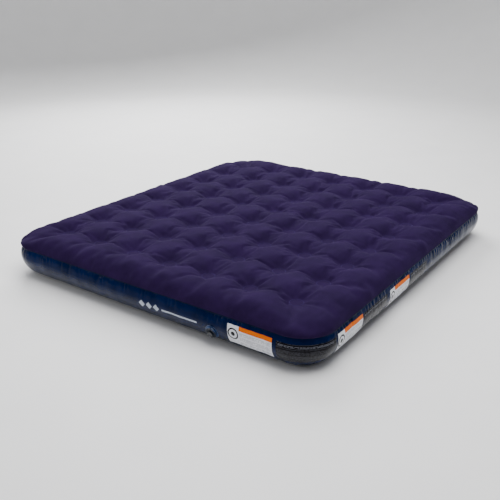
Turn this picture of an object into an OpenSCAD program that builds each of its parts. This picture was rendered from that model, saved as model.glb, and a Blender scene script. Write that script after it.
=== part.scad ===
// Inflatable air bed: a flocked top panel, a navy vinyl wall and a base sheet, tied together by
// rows of vinyl coils, with a double-lock valve (a large deflation plug that carries a small
// inflation port with its own cap and one-way flap) and three sticker panels on the wall.
// Origin: centre of the underside. +Z up, -Y towards the valve side.

/* [Bed] */
// Overall width, across the side that holds the valve
bed_width = 1830; // [1800:5:1860]
// Overall length
bed_length = 2030; // [2000:5:2060]
// Inflated height
bed_height = 220; // [210:2:240]
// Radius of the corners seen from above, at the widest level
corner_radius = 165; // [155:5:200]
// Thickness of every vinyl sheet
sheet = 1; // [0.8:0.1:1.4]
// Angle above the horizontal, round the bulged side, at which the top panel meets the wall
top_seam_angle = 25; // [20:1:30]
// Angle below the horizontal at which the wall meets the base sheet
base_seam_angle = 62; // [55:1:66]
// Width of the welded margin behind each seam
weld_margin = 12; // [8:1:16]

/* [Coils] */
// Distance between coils across the width
coil_pitch_x = 230; // [220:1:235]
// Distance between coils along the length
coil_pitch_y = 226; // [220:1:230]
// Outer radius of a coil tube
coil_radius = 35; // [30:1:38]
// Depth of the dimple that each coil pulls into the top panel
top_dimple_depth = 28; // [18:1:32]
// Radius of the top dimple at the surface
top_dimple_radius = 88; // [75:1:100]
// Depth of the dimple in the base sheet
base_dimple_depth = 16; // [10:1:22]
// Radius of the base dimple at the surface
base_dimple_radius = 70; // [60:1:90]
// Radius of the air holes in each coil
vent_radius = 7; // [5:1:10]

/* [Valve] */
// Distance of the valve from the middle of its side
valve_x = 415; // [380:5:440]
// Angle of the valve's axis below the horizontal
valve_angle = 24; // [20:1:28]
// Radius of the flange welded to the inside of the wall
flange_radius = 42; // [38:1:46]
// Outer radius of the neck
neck_radius = 26; // [25:0.5:27]
// Inner radius of the neck, which takes the deflation plug
neck_bore = 22; // [21.5:0.5:22.5]
// How far the neck stands out of the wall
neck_rise = 6; // [5:0.5:8]
// Inner radius of the inflation port, which takes a pump nozzle
port_bore = 8.5; // [8:0.5:9]
// Wall thickness of the inflation port
port_wall = 2.4; // [2:0.1:2.5]

/* [Panels] */
// Length of each sticker panel along the wall
panel_length = 216; // [180:2:230]
// Angle above the horizontal of a panel's top edge
panel_top_angle = 14; // [8:1:16]
// Angle below the horizontal of a panel's bottom edge
panel_low_angle = 36; // [30:1:45]
// Centre of the panel on the valve side, from the middle of that side
front_panel_x = 609; // [600:1:620]
// Centre of the nearer panel on the +X side
near_panel_y = -731; // [-740:1:-720]
// Centre of the farther panel on the +X side
far_panel_y = -247; // [-260:1:-230]

/* [Hidden] */
$fn = 96;

coil_columns = 7;
coil_rows = 8;

// The bulged side is half a circle, swept round a rounded rectangle.
bulge = bed_height / 2;
path_x = bed_width / 2 - bulge;
path_y = bed_length / 2 - bulge;
path_radius = corner_radius - bulge;
inner_skin = bulge - sheet;
margin_angle = weld_margin / bulge * 180 / PI;

// Coils stand between the floors of the two dimples.
coil_foot = base_dimple_depth + sheet;
coil_height = bed_height - top_dimple_depth - sheet - coil_foot;
dimple_floor_radius = coil_radius + 2;
coil_flange = 10;

// Valve, in its own frame: z is outward from the wall, y is up the wall.
snug = 0.1;
seat_gap = 0.05;
part_gap = 0.3;
flange_thick = 1.5;
neck_depth = 16;
gasket_thick = 0.75;
disc_low = neck_rise + seat_gap + gasket_thick;
disc_thick = 2.2;
disc_high = disc_low + disc_thick;
disc_radius = neck_radius - 1;
skirt_radius = neck_bore - part_gap;
skirt_depth = 6;
skirt_wall = 2;
pull_tab = 7;
port_radius = port_bore + port_wall;
port_inner_end = -10;
port_outer_end = disc_high + 4.5;
plug_hinge = [34, neck_rise - 0.6];
cap_floor = port_outer_end + part_gap;
cap_high = cap_floor + 1.8;
cap_skirt_depth = 2.6;
cap_radius = port_radius + part_gap + 1.9;
cap_hinge = [-18.4, disc_high + 3.1];
hinge_gap = 0.4;
cap_tab = 4;
tether_thick = 2.3;
tether_half_width = 6;
tether_band = 2.6;
cap_tether_thick = 0.8;
lug_half_width = 4;
lug_thick = 2;
lug_reach = 17;
flap_thick = 1;
flap_radius = port_radius + 0.6;
flap_hinge_y = 12;
flap_gap = 0.6;
stud_radius = 1.6;
stud_height = 1.2;

// Stickers.
panel_thick = 0.4;

// A 2D ring sector: x is outward, y is up, angles are from the outward direction.
module ring_sector(inner, outer, low, high) {
    far = 2 * outer;
    mid = (low + high) / 2;
    intersection() {
        difference() {
            circle(outer);
            circle(inner);
        }
        polygon(concat([[0, 0]], [for (turn = [low, mid, high]) far * [cos(turn), sin(turn)]]));
    }
}

// Sweeps a 2D section (x outward from the path, y up) round the rounded rectangle.
module sweep_round_bed() {
    for (side = [0:3]) {
        across = side % 2 == 0;
        reach = across ? path_x : path_y;
        run = 2 * ((across ? path_y : path_x) - path_radius);
        rotate([0, 0, 90 * side]) translate([reach, 0, 0]) rotate([90, 0, 0])
            linear_extrude(height = run, center = true) children();
    }
    for (sx = [-1, 1], sy = [-1, 1]) {
        turn = sx > 0 ? (sy > 0 ? 0 : 270) : (sy > 0 ? 90 : 180);
        translate([sx * (path_x - path_radius), sy * (path_y - path_radius), 0]) rotate([0, 0, turn])
            rotate_extrude(angle = 90) translate([path_radius, 0]) children();
    }
}

// A band of the bulged side between two angles and two radii.
module side_band(inner, outer, low, high) {
    sweep_round_bed() translate([0, bulge]) ring_sector(inner, outer, low, high);
}

// The flat middle of the top panel or the base sheet, as a plate.
module flat_plate(low, high) {
    translate([0, 0, low]) linear_extrude(height = high - low) {
        square([2 * path_x, 2 * (path_y - path_radius)], center = true);
        square([2 * (path_x - path_radius), 2 * path_y], center = true);
        for (sx = [-1, 1], sy = [-1, 1])
            translate([sx * (path_x - path_radius), sy * (path_y - path_radius)]) circle(path_radius);
    }
}

// Repeats its children at every coil.
module at_coils() {
    for (column = [1:coil_columns], row = [1:coil_rows])
        translate([(column - (coil_columns + 1) / 2) * coil_pitch_x,
            (row - (coil_rows + 1) / 2) * coil_pitch_y, 0]) children();
}

module top_panel() {
    surface = bed_height;
    floor_level = surface - top_dimple_depth;
    color("#3b3263") difference() {
        union() {
            side_band(inner_skin, bulge, top_seam_angle, 90);
            flat_plate(surface - sheet, surface);
            at_coils() translate([0, 0, floor_level - sheet])
                cylinder(h = top_dimple_depth,
                    r1 = dimple_floor_radius + sheet, r2 = top_dimple_radius + sheet);
        }
        at_coils() translate([0, 0, floor_level])
            cylinder(h = top_dimple_depth, r1 = dimple_floor_radius, r2 = top_dimple_radius);
    }
}

// The margin where the top panel and the wall are welded together, behind the seam.
module top_seam_weld() {
    color("#1b2547") side_band(inner_skin - sheet, inner_skin,
        top_seam_angle - margin_angle / 2, top_seam_angle + margin_angle / 2);
}

module side_wall() {
    color("#0d2244") difference() {
        side_band(inner_skin, bulge, -base_seam_angle, top_seam_angle);
        in_valve_frame() translate([0, 0, -neck_depth])
            cylinder(h = 2 * neck_depth, r = neck_radius + snug);
    }
}

module base_sheet() {
    color("#0b1a33") difference() {
        union() {
            side_band(inner_skin, bulge, -90, -base_seam_angle);
            flat_plate(0, sheet);
            at_coils() translate([0, 0, sheet])
                cylinder(h = base_dimple_depth,
                    r1 = base_dimple_radius + sheet, r2 = dimple_floor_radius + sheet);
        }
        at_coils() cylinder(h = base_dimple_depth, r1 = base_dimple_radius, r2 = dimple_floor_radius);
    }
}

module base_seam_weld() {
    color("#1b2547") side_band(inner_skin - sheet, inner_skin,
        -base_seam_angle - margin_angle / 2, -base_seam_angle + margin_angle / 2);
}

// One vinyl tube with an inturned weld flange at each end and four air holes at half height.
module coil() {
    difference() {
        cylinder(h = coil_height, r = coil_radius);
        translate([0, 0, sheet]) cylinder(h = coil_height - 2 * sheet, r = coil_radius - sheet);
        translate([0, 0, -1]) cylinder(h = coil_height + 2, r = coil_radius - coil_flange);
        for (turn = [0, 90])
            translate([0, 0, coil_height / 2]) rotate([90, 0, turn])
                cylinder(h = 3 * coil_radius, r = vent_radius, center = true);
    }
}

module coil_row(row) {
    color("#8d96ad") for (column = [1:coil_columns])
        translate([(column - (coil_columns + 1) / 2) * coil_pitch_x,
            (row - (coil_rows + 1) / 2) * coil_pitch_y, coil_foot]) coil();
}

// Places its children on the wall of the -Y side, with z along the valve's axis.
module in_valve_frame() {
    translate([valve_x, -path_y - bulge * cos(valve_angle), bulge - bulge * sin(valve_angle)])
        rotate([90 + valve_angle, 0, 0]) children();
}

module ring(low, high, inner, outer) {
    translate([0, 0, low]) difference() {
        cylinder(h = high - low, r = outer);
        translate([0, 0, -1]) cylinder(h = high - low + 2, r = inner);
    }
}

// A block between two corners.
module block(low, high) {
    translate(low) cube(high - low);
}

// The welded flange follows the inside of the wall, and the neck passes out through it.
module valve_neck() {
    color("#16305c") difference() {
        union() {
            intersection() {
                translate([valve_x, -path_y, bulge]) rotate([90, 0, -90])
                    linear_extrude(height = 3 * flange_radius, center = true)
                        ring_sector(inner_skin - flange_thick, inner_skin, -60, 20);
                in_valve_frame() cylinder(h = 4 * neck_depth, r = flange_radius, center = true);
            }
            in_valve_frame() translate([0, 0, -neck_depth])
                cylinder(h = neck_depth + neck_rise, r = neck_radius);
        }
        in_valve_frame() cylinder(h = 6 * neck_depth, r = neck_bore, center = true);
    }
}

// Strap that keeps the plug on the neck: a ring round the neck and a tongue up to the fold line.
module plug_tether() {
    low = 1.5;
    color("#16305c") in_valve_frame() difference() {
        union() {
            translate([0, 0, low]) cylinder(h = tether_thick, r = neck_radius + snug + tether_band);
            block([-tether_half_width, neck_radius, low],
                [tether_half_width, plug_hinge[0] - hinge_gap, low + tether_thick]);
        }
        translate([0, 0, low - 1]) cylinder(h = tether_thick + 2, r = neck_radius + snug);
    }
}

// Disc with a skirt that fills the neck, the inflation port through its middle, a pull tab at -x,
// a tongue up to the fold line and, inside, a lug for the one-way flap.
module deflation_plug() {
    color("#101c33") in_valve_frame() difference() {
        union() {
            translate([0, 0, disc_low]) cylinder(h = disc_thick, r = disc_radius);
            block([-tether_half_width, 0, disc_low],
                [tether_half_width, plug_hinge[0] - hinge_gap, disc_high]);
            block([-disc_radius - pull_tab, -tether_half_width, disc_low],
                [0, tether_half_width, disc_high]);
            ring(disc_low - skirt_depth, disc_low, skirt_radius - skirt_wall, skirt_radius);
            translate([0, 0, port_inner_end])
                cylinder(h = port_outer_end - port_inner_end, r = port_radius);
            block([-lug_half_width, 0, port_inner_end],
                [lug_half_width, lug_reach, port_inner_end + lug_thick]);
        }
        cylinder(h = 8 * skirt_depth, r = port_bore, center = true);
    }
}

module plug_gasket() {
    color("#2a2a2e") in_valve_frame()
        ring(disc_low - gasket_thick, disc_low, neck_bore + snug, disc_radius);
}

// Strap of the small cap: a ring round the port and a tongue down to the fold line.
module cap_tether() {
    low = disc_high + seat_gap;
    high = low + cap_tether_thick;
    color("#101c33") in_valve_frame() difference() {
        union() {
            translate([0, 0, low]) cylinder(h = high - low, r = cap_radius);
            block([-lug_half_width, cap_hinge[0] + hinge_gap, low], [lug_half_width, -port_radius, high]);
        }
        translate([0, 0, low - 1]) cylinder(h = high - low + 2, r = port_radius + snug);
    }
}

// Lid with a skirt round the port, a tongue down to the fold line and a finger tab at the top.
module inflation_cap() {
    color("#23272f") in_valve_frame() {
        translate([0, 0, cap_floor]) cylinder(h = cap_high - cap_floor, r = cap_radius);
        ring(cap_floor - cap_skirt_depth, cap_floor, port_radius + part_gap, cap_radius);
        block([-lug_half_width, cap_hinge[0] + hinge_gap, cap_floor], [lug_half_width, 0, cap_high]);
        block([-lug_half_width, 0, cap_floor], [lug_half_width, cap_radius + cap_tab, cap_high]);
    }
}

// The fixed end of the one-way flap: a strip and the stud that holds it to the lug.
module flap_clamp() {
    high = port_inner_end - seat_gap;
    color("#4a4d55") in_valve_frame() {
        block([-lug_half_width, flap_hinge_y + flap_gap, high - flap_thick],
            [lug_half_width, lug_reach, high]);
        translate([0, (flap_hinge_y + flap_gap + lug_reach) / 2, high - flap_thick - stud_height])
            cylinder(h = stud_height, r = stud_radius);
    }
}

module check_flap() {
    high = port_inner_end - seat_gap;
    color("#c9ccd3") in_valve_frame() {
        translate([0, 0, high - flap_thick]) cylinder(h = flap_thick, r = flap_radius);
        block([-lug_half_width, 0, high - flap_thick], [lug_half_width, flap_hinge_y - flap_gap, high]);
    }
}

// A sticker that lies on the bulged wall: turn 0 faces +X and 270 faces -Y.
module sticker(turn, reach, along) {
    color("#d9dbe2") rotate([0, 0, turn]) translate([reach, along, bulge]) rotate([90, 0, 0])
        linear_extrude(height = panel_length, center = true)
            ring_sector(bulge, bulge + panel_thick, -panel_low_angle, panel_top_angle);
}

module front_panel() { sticker(270, path_y, front_panel_x); }
module near_side_panel() { sticker(0, path_x, near_panel_y); }
module far_side_panel() { sticker(0, path_x, far_panel_y); }

top_panel();
top_seam_weld();
side_wall();
base_sheet();
base_seam_weld();
coil_row(1);  // coil_row_1
coil_row(2);  // coil_row_2
coil_row(3);  // coil_row_3
coil_row(4);  // coil_row_4
coil_row(5);  // coil_row_5
coil_row(6);  // coil_row_6
coil_row(7);  // coil_row_7
coil_row(8);  // coil_row_8
valve_neck();
plug_tether();
deflation_plug();
plug_gasket();
cap_tether();
inflation_cap();
flap_clamp();
check_flap();
front_panel();
near_side_panel();
far_side_panel();
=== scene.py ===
"""Inflated air bed: flocked top, glossy navy wall, coils and a double-lock valve, round the CAD frame."""
import math

import bmesh
import bpy
import numpy as np
from mathutils import Matrix, Vector
from mathutils.geometry import delaunay_2d_cdt


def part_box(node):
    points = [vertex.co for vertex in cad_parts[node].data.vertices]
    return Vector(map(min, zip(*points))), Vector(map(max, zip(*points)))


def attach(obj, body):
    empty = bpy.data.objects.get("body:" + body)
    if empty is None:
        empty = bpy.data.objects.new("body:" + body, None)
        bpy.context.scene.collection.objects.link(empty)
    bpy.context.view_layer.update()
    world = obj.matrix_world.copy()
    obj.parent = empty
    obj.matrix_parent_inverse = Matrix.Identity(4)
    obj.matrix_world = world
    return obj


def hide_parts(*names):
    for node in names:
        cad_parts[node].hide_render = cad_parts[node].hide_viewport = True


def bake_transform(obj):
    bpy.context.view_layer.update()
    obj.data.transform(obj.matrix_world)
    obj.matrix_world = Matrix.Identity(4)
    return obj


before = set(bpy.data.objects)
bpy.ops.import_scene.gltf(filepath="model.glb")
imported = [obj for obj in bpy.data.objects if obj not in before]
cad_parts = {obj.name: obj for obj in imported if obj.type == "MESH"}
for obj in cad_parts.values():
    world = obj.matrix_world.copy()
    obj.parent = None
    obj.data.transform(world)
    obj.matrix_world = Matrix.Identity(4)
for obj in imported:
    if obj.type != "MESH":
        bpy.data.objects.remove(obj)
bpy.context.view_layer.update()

MM = 0.001
TAU = 2 * math.pi


# ---- sizes, from the frame

def node_box(name):
    """Lowest and highest corner of a CAD node, as plain numbers."""
    low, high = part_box(name)
    return [float(v) for v in low], [float(v) for v in high]


HEIGHT = node_box("top_panel")[1][2]
BULGE = HEIGHT / 2
PATH_X, PATH_Y = (high - BULGE for high in node_box("side_wall")[1][:2])
CORNER = 165 * MM
PATH_CORNER = CORNER - BULGE
# The seams' angles round the bulge, from the widest place.
TOP_SEAM = math.radians(25)
BASE_SEAM = math.radians(-62)

COIL_ROWS = sorted(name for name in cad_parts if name.startswith("coil_row_"))
COIL_COLUMNS = 7
COIL_LOW, COIL_HIGH = node_box(COIL_ROWS[0])
COIL_RADIUS = (COIL_HIGH[1] - COIL_LOW[1]) / 2
PITCH_X = (COIL_HIGH[0] - COIL_LOW[0] - 2 * COIL_RADIUS) / (COIL_COLUMNS - 1)
ROW_Y = [sum(node_box(name)[i][1] for i in (0, 1)) / 2 for name in COIL_ROWS]
COLUMN_X = [(i - (COIL_COLUMNS - 1) / 2) * PITCH_X for i in range(COIL_COLUMNS)]
COILS = np.array([(x, y) for y in ROW_Y for x in COLUMN_X])
TOP_WELD_Z = COIL_HIGH[2] + 1 * MM
BASE_WELD_Z = COIL_LOW[2] - 1 * MM
WELD_RADIUS = 31 * MM

VALVE_ANGLE = math.radians(24)
VALVE_X = sum(corner[0] for corner in node_box("valve_neck")) / 2
VALVE_OUT = Vector((0, -math.cos(VALVE_ANGLE), -math.sin(VALVE_ANGLE)))
VALVE_CENTRE = Vector((VALVE_X, -PATH_Y, BULGE)) + BULGE * VALVE_OUT
VALVE_FRAME = Matrix.Translation(VALVE_CENTRE) @ Matrix.Rotation(math.pi / 2 + VALVE_ANGLE, 4, "X")


# ---- camera, light and floor

def aim(thing, target):
    """Turns a camera or light to look at a point."""
    away = Vector(target) - thing.location
    thing.rotation_euler = away.to_track_quat("-Z", "Y").to_euler()


CAMERA_AZIMUTH, CAMERA_ELEVATION = math.radians(35.1), math.radians(22.1)
CAMERA_DISTANCE = 3.54
CAMERA_LENS = 48.5
CAMERA_TARGET = Vector((74 * MM, -246 * MM, 100 * MM))


def add_camera():
    camera = bpy.data.objects.new("camera", bpy.data.cameras.new("camera"))
    camera.data.lens = CAMERA_LENS
    camera.data.clip_end = 200
    level = math.cos(CAMERA_ELEVATION)
    away = Vector((math.sin(CAMERA_AZIMUTH) * level, -math.cos(CAMERA_AZIMUTH) * level,
                   math.sin(CAMERA_ELEVATION)))
    camera.location = CAMERA_TARGET + CAMERA_DISTANCE * away
    aim(camera, CAMERA_TARGET)
    bpy.context.collection.objects.link(camera)
    bpy.context.scene.camera = camera


# Name, place, the point it faces, width in metres and power in watts.
SOFT_LIGHTS = (("softbox behind", (-3.0, 2.6, 3.0), (-0.6, 1.2, 0), 3.4, 315),
               ("softbox above", (0.8, -0.4, 3.6), (0, -0.2, 0), 3.0, 165),
               ("softbox front", (-2.4, -3.4, 1.6), (0, -0.8, 0), 0.9, 22))


def add_studio():
    world = bpy.data.worlds.new("white studio")
    world.use_nodes = True
    background = world.node_tree.nodes["Background"]
    background.inputs["Color"].default_value = (1, 1, 1, 1)
    background.inputs["Strength"].default_value = 0.5
    bpy.context.scene.world = world
    for name, place, target, size, power in SOFT_LIGHTS:
        light = bpy.data.lights.new(name, "AREA")
        light.size = size
        light.energy = power
        lamp = bpy.data.objects.new(name, light)
        lamp.location = place
        aim(lamp, target)
        bpy.context.collection.objects.link(lamp)


# ---- materials

NAVY = ("000d2e", "00143e")


def linear(hex_colour):
    """A linear RGBA colour from an sRGB hex value such as "3b3263"."""
    channels = [int(hex_colour[i:i + 2], 16) / 255 for i in (0, 2, 4)]
    return tuple(c / 12.92 if c <= 0.04045 else ((c + 0.055) / 1.055) ** 2.4 for c in channels) + (1.0,)


def add_node(tree, kind, inputs=None, **settings):
    """Adds one node. An input's value is a constant or the output socket that feeds it."""
    node = tree.nodes.new(kind)
    for name, value in settings.items():
        setattr(node, name, value)
    for name, value in (inputs or {}).items():
        if isinstance(value, bpy.types.NodeSocket):
            tree.links.new(value, node.inputs[name])
        else:
            node.inputs[name].default_value = value
    return node


def new_material(name, **constants):
    """A principled material and its tree, with constants set on the shader's own sockets."""
    material = bpy.data.materials.new(name)
    material.use_nodes = True
    shader = material.node_tree.nodes["Principled BSDF"]
    for socket, value in constants.items():
        shader.inputs[socket.replace("_", " ")].default_value = value
    return material, material.node_tree, shader


def coordinates(tree, kind, **mapping):
    """A piece's own Object or UV coordinates, mapped."""
    place = add_node(tree, "ShaderNodeTexCoord").outputs[kind]
    return add_node(tree, "ShaderNodeMapping", {"Vector": place, **mapping}).outputs["Vector"]


def split(tree, vector):
    return add_node(tree, "ShaderNodeSeparateXYZ", {"Vector": vector}).outputs


def span(tree, value, start, end, first=0.0, last=1.0):
    """Maps the range from start to end onto the range from first to last."""
    return add_node(tree, "ShaderNodeMapRange", {
        "Value": value, "From Min": start, "From Max": end, "To Min": first, "To Max": last}).outputs[0]


def object_noise(tree, per_metre, detail=3.0, stretch=(1, 1, 1), roughness=0.5):
    """Noise with so many features in a metre."""
    return add_node(tree, "ShaderNodeTexNoise", {
        "Vector": coordinates(tree, "Object", Scale=stretch), "Scale": per_metre, "Detail": detail,
        "Roughness": roughness}).outputs["Fac"]


def two_tone(tree, factor, dark, light, low=0.3, high=0.7):
    """A blend from one colour to another as the factor goes from low to high."""
    ramp = add_node(tree, "ShaderNodeValToRGB", {"Fac": factor})
    ramp.color_ramp.elements[0].position = low
    ramp.color_ramp.elements[0].color = linear(dark)
    ramp.color_ramp.elements[1].position = high
    ramp.color_ramp.elements[1].color = linear(light)
    return ramp.outputs["Color"]


def bump(tree, height, distance, strength=1.0, below=None):
    inputs = {"Height": height, "Distance": distance, "Strength": strength}
    if below:
        inputs["Normal"] = below
    return add_node(tree, "ShaderNodeBump", inputs).outputs["Normal"]


def rayon_flock(name, dark, light):
    """Rayon flock: short upright fibres, so no gloss, a soft bright rim and a nap brushed in patches."""
    material, tree, shader = new_material(
        name, Roughness=0.95, Specular_IOR_Level=0.05, Sheen_Weight=0.12, Sheen_Roughness=0.4,
        Sheen_Tint=linear("8a74b8"))
    patches = object_noise(tree, 7, detail=4, stretch=(1, 1.6, 1))
    brushed = object_noise(tree, 55, detail=3, stretch=(1, 0.35, 1))
    # Flock fibres are 0.5 mm apart; clumps of 2 to 3 mm are drawn so that the nap shows.
    clumps = object_noise(tree, 420, detail=3, roughness=0.7)
    broad = plus(tree, times(tree, patches, 0.5), times(tree, brushed, 0.22))
    nap = plus(tree, broad, times(tree, clumps, 0.28))
    tree.links.new(two_tone(tree, nap, dark, light, 0.37, 0.63), shader.inputs["Base Color"])
    tree.links.new(bump(tree, clumps, 0.8 * MM, 0.8), shader.inputs["Normal"])
    return material


# Up to the first height the film mirrors at the first level, and from the second height at the second
# level, so that the wall's upper half keeps its dark navy in a bright studio.
MIRROR_HEIGHTS = (66 * MM, 112 * MM)
MIRROR_LEVELS = (0.28, 0.04)


def film_material(name, colour, roughness):
    """A vinyl film with faint orange peel and uneven gloss. Its colour is a function of its node tree."""
    material, tree, shader = new_material(name)
    tree.links.new(colour(tree), shader.inputs["Base Color"])
    height = split(tree, coordinates(tree, "Object"))["Z"]
    tree.links.new(span(tree, height, *MIRROR_HEIGHTS, *MIRROR_LEVELS), shader.inputs["Specular IOR Level"])
    peel = object_noise(tree, 260, detail=2)
    waves = object_noise(tree, 38, detail=2)
    rolling = bump(tree, waves, 0.6 * MM, 0.5)
    tree.links.new(bump(tree, peel, 0.05 * MM, 0.6, rolling), shader.inputs["Normal"])
    gloss = span(tree, waves, 0.3, 0.7, roughness - 0.05, roughness + 0.06)
    tree.links.new(gloss, shader.inputs["Roughness"])
    return material


def clouded(dark, light):
    """The slight cloudiness of dyed film, as a function of a node tree."""
    return lambda tree: two_tone(tree, object_noise(tree, 11), dark, light)


def calendered_vinyl(name, dark, light, roughness):
    """Calendered vinyl film: even colour with a slight cloudiness and a wet, slightly uneven gloss."""
    return film_material(name, clouded(dark, light), roughness)


def moulded_vinyl(name, dark, light, roughness, **constants):
    """Injection-moulded soft vinyl: satin, with fine mould grain."""
    material, tree, shader = new_material(name, IOR=1.52, Roughness=roughness, **constants)
    clouds = object_noise(tree, 90, detail=3)
    tree.links.new(two_tone(tree, clouds, dark, light), shader.inputs["Base Color"])
    grain = object_noise(tree, 1600, detail=2)
    tree.links.new(bump(tree, grain, 0.05 * MM, 0.5), shader.inputs["Normal"])
    return material


# Where the floor's paper is grey: from the first height up to the second it comes in, and so it does from
# the first distance ahead of the middle, along the camera's line of sight, back to the second.
GREY_HEIGHTS = (0.2, 1.6)
GREY_AHEAD = (6.0, 3.6)


def plain_floor():
    """Matt white paper, greyer where it rises out of the camera's sight: the film mirrors it there."""
    material, tree, shader = new_material("pale floor", Roughness=0.6)
    height = split(tree, coordinates(tree, "Object"))["Z"]
    sight = CAMERA_AZIMUTH + math.pi / 2
    ahead = split(tree, coordinates(tree, "Object", Rotation=(0, 0, -sight)))["X"]
    grey = times(tree, span(tree, height, *GREY_HEIGHTS), span(tree, ahead, *GREY_AHEAD))
    white = two_tone(tree, object_noise(tree, 3, detail=2), "f4f4f5", "f7f7f8")
    tree.links.new(mix_colour(tree, grey, white, "6a6a6d"), shader.inputs["Base Color"])
    return material


def uv_axis(tree, along, up):
    """The piece's own UV map, scaled to millimetres along and up the wall."""
    axes = split(tree, coordinates(tree, "UV", Scale=(along / MM, up / MM, 1)))
    return axes["X"], axes["Y"]


def math_node(tree, operation, *values):
    return add_node(tree, "ShaderNodeMath", dict(enumerate(values)), operation=operation).outputs[0]


def times(tree, first, second):
    return math_node(tree, "MULTIPLY", first, second)


def plus(tree, first, second):
    return math_node(tree, "ADD", first, second)


def less(tree, value, limit):
    return math_node(tree, "LESS_THAN", value, limit)


def between(tree, value, low, high):
    """1 where a value lies between two limits."""
    return times(tree, math_node(tree, "GREATER_THAN", value, low), less(tree, value, high))


def window(tree, x, y, left, right, low, high):
    """1 inside a rectangle."""
    return times(tree, between(tree, x, left, right), between(tree, y, low, high))


def ruled_lines(tree, x, y, pitch, thick, word):
    """Short strokes in rows, in paragraphs of four: fine print with no lettering."""
    rows = math_node(tree, "DIVIDE", y, pitch)
    stroke = less(tree, math_node(tree, "FRACT", rows), thick / pitch)
    paragraph = math_node(tree, "FRACT", math_node(tree, "DIVIDE", y, 5 * pitch))
    stroke = times(tree, stroke, math_node(tree, "GREATER_THAN", paragraph, 0.2))
    place = add_node(tree, "ShaderNodeCombineXYZ", {
        "X": math_node(tree, "DIVIDE", x, word), "Y": times(tree, math_node(tree, "FLOOR", rows), 7.31)})
    gaps = add_node(tree, "ShaderNodeTexNoise", {
        "Vector": place.outputs["Vector"], "Scale": 1.0, "Detail": 1.0}).outputs["Fac"]
    return times(tree, stroke, math_node(tree, "GREATER_THAN", gaps, 0.43))


def mix_colour(tree, factor, first, second):
    mixed = add_node(tree, "ShaderNodeMix", {0: factor}, data_type="RGBA")
    for socket, value in ((mixed.inputs[6], first), (mixed.inputs[7], second)):
        if isinstance(value, str):
            socket.default_value = linear(value)
        else:
            tree.links.new(value, socket)
    return mixed.outputs[2]


# Lengths on the stickers and prints are millimetres from the lower left corner.

def printed_sticker(along, up):
    """Screen-printed white vinyl sticker: an orange heading, a plain black ring and grey ruled lines."""
    width, height = along / MM, up / MM
    column, heading = 56, 19
    ring, dot = (20, 26.5), 10

    def colour(tree):
        x, y = uv_axis(tree, along, up)
        paper = two_tone(tree, object_noise(tree, 30), "d3d4dc", "e2e3e8")
        block = window(tree, x, y, column + 5, width - 8, 8, height - heading - 7)
        text = times(tree, times(tree, ruled_lines(tree, x, y, 5.2, 2, 9), block), 0.8)
        head = window(tree, x, y, column, width + 1, height - heading, height + 1)
        across = math_node(tree, "SUBTRACT", x, column / 2)
        above = math_node(tree, "SUBTRACT", y, height * 0.58)
        radius = math_node(tree, "SQRT", plus(tree, times(tree, across, across), times(tree, above, above)))
        mark = math_node(tree, "MAXIMUM", between(tree, radius, *ring), less(tree, radius, dot))
        for factor, ink in ((text, "7b7e88"), (head, "d86400"), (mark, "16161a")):
            paper = mix_colour(tree, factor, paper, ink)
        return paper

    return film_material("printed sticker", colour, 0.3)


def plain_badge(along, up):
    """Light grey ink on the navy film: three plain diamonds and a bar."""
    pitch, reach, half_bar = 42, 18, 4.5

    def colour(tree):
        x, y = uv_axis(tree, along, up)
        beside = math_node(tree, "FRACT", math_node(tree, "DIVIDE", x, pitch))
        beside = math_node(tree, "ABSOLUTE", math_node(tree, "SUBTRACT", beside, 0.5))
        above = math_node(tree, "ABSOLUTE", math_node(tree, "SUBTRACT", y, up / MM / 2))
        away = plus(tree, times(tree, beside, pitch), above)
        diamonds = times(tree, less(tree, away, reach), between(tree, x, 0, 3 * pitch))
        bar_ink = times(tree, less(tree, above, half_bar), between(tree, x, 3.3 * pitch, along / MM - 6))
        mark = math_node(tree, "MAXIMUM", diamonds, bar_ink)
        return mix_colour(tree, mark, clouded(*NAVY)(tree), "b4bccb")

    return film_material("badge ink on navy film", colour, 0.2)


def printed_film(name, along, up):
    """Fine grey print under a brighter heading, screened straight onto the dark film."""
    width, height = along / MM, up / MM

    def colour(tree):
        x, y = uv_axis(tree, along, up)
        lines = ruled_lines(tree, x, y, 4.4, 1.7, 7)
        block = window(tree, x, y, 6, width - 6, 5, height - 5)
        heading = window(tree, x, y, 6, width - 20, height - 20, height - 5)
        faint, bright = (times(tree, times(tree, lines, part), share)
                         for part, share in ((block, 0.2), (heading, 0.7)))
        printed = math_node(tree, "MAXIMUM", faint, bright)
        return mix_colour(tree, printed, clouded("07060d", "0d0b14")(tree), "8a8c98")

    return film_material(name.replace("_", " ") + " ink", colour, 0.26)


# ---- meshes

def make_object(name, vertices, faces, material, uvs=None):
    """A smooth-shaded mesh object at the origin; uvs holds one pair for each vertex."""
    mesh = bpy.data.meshes.new(name)
    mesh.from_pydata([tuple(map(float, v)) for v in vertices], [], [tuple(map(int, f)) for f in faces])
    mesh.update()
    mesh.shade_smooth()
    if uvs is not None:
        layer = mesh.uv_layers.new(name="UVMap")
        corner = np.empty(len(mesh.loops), dtype=np.int32)
        mesh.loops.foreach_get("vertex_index", corner)
        layer.data.foreach_set("uv", np.asarray(uvs, dtype=np.float32)[corner].ravel())
    mesh.materials.append(material)
    piece = bpy.data.objects.new(name, mesh)
    bpy.context.collection.objects.link(piece)
    return piece


def grid_faces(rows, columns, closed=False):
    """Quads over a grid of vertices stored row by row; closed joins the last column to the first."""
    faces = []
    for row in range(rows - 1):
        for column in range(columns if closed else columns - 1):
            after = (column + 1) % columns
            a, b = row * columns + column, row * columns + after
            faces.append((a, b, b + columns, a + columns))
    return faces


def smooth_step(value, low, high):
    """Rises smoothly from 0 at low to 1 at high."""
    t = np.clip((value - low) / (high - low), 0, 1)
    return t * t * (3 - 2 * t)


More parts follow.
